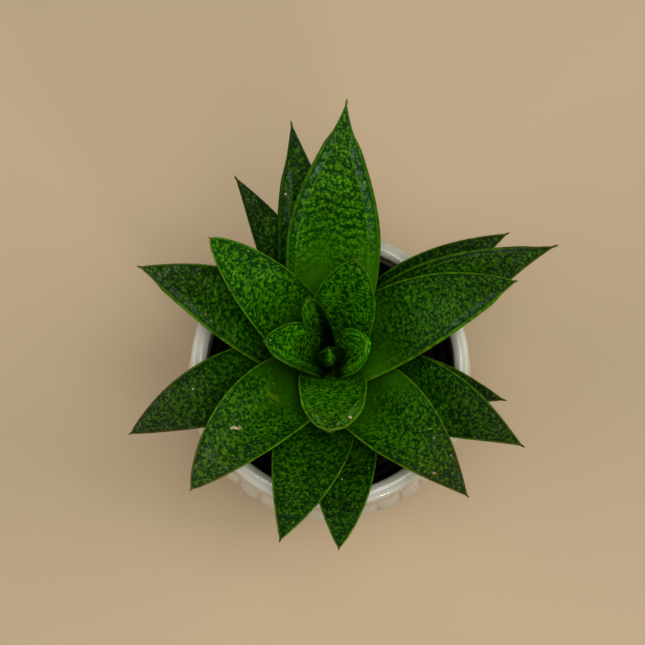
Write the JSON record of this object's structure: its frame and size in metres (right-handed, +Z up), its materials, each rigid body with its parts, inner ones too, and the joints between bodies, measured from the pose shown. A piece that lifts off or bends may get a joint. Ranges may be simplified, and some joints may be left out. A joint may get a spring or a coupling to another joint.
{
  "type": "potted aloe",
  "caption": "Small tubercled aloe rosette growing in a plastic nursery pot that stands inside a cream glazed pot with upright lobes.",
  "frame": {"origin": "centre of the glazed pot's flat foot, on the surface that it stands on", "axes": "+Z up along the pot's axis; -Y is the side nearest the viewer of the picture and +X is to the viewer's right"},
  "size_m": [0.1154, 0.1175, 0.121],
  "materials": {
    "glaze": "glossy cream glaze, brown in its grooves",
    "nursery_plastic": "black satin",
    "soil": "matte crumbs of peat and bark",
    "stem": "matte, pale green",
    "leaf": "satin dark green with paler raised dots"
  },
  "bodies": {
    "root": {"ceramic_pot": "glaze", "nursery_pot": "nursery_plastic", "soil": "soil", "stem": "stem", "leaf_bud": "leaf", "leaf_inner_1": "leaf", "leaf_inner_2": "leaf", "leaf_inner_3": "leaf", "leaf_inner_4": "leaf", "leaf_inner_5": "leaf", "leaf_middle_1": "leaf", "leaf_middle_2": "leaf", "leaf_middle_3": "leaf", "leaf_middle_4": "leaf", "leaf_middle_5": "leaf", "leaf_outer_1": "leaf", "leaf_outer_2": "leaf", "leaf_outer_3": "leaf", "leaf_outer_4": "leaf", "leaf_outer_5": "leaf", "leaf_outer_6": "leaf", "leaf_outer_7": "leaf", "leaf_outer_8": "leaf", "leaf_outer_9": "leaf", "leaf_outer_10": "leaf"}
  },
  "joints": []
}
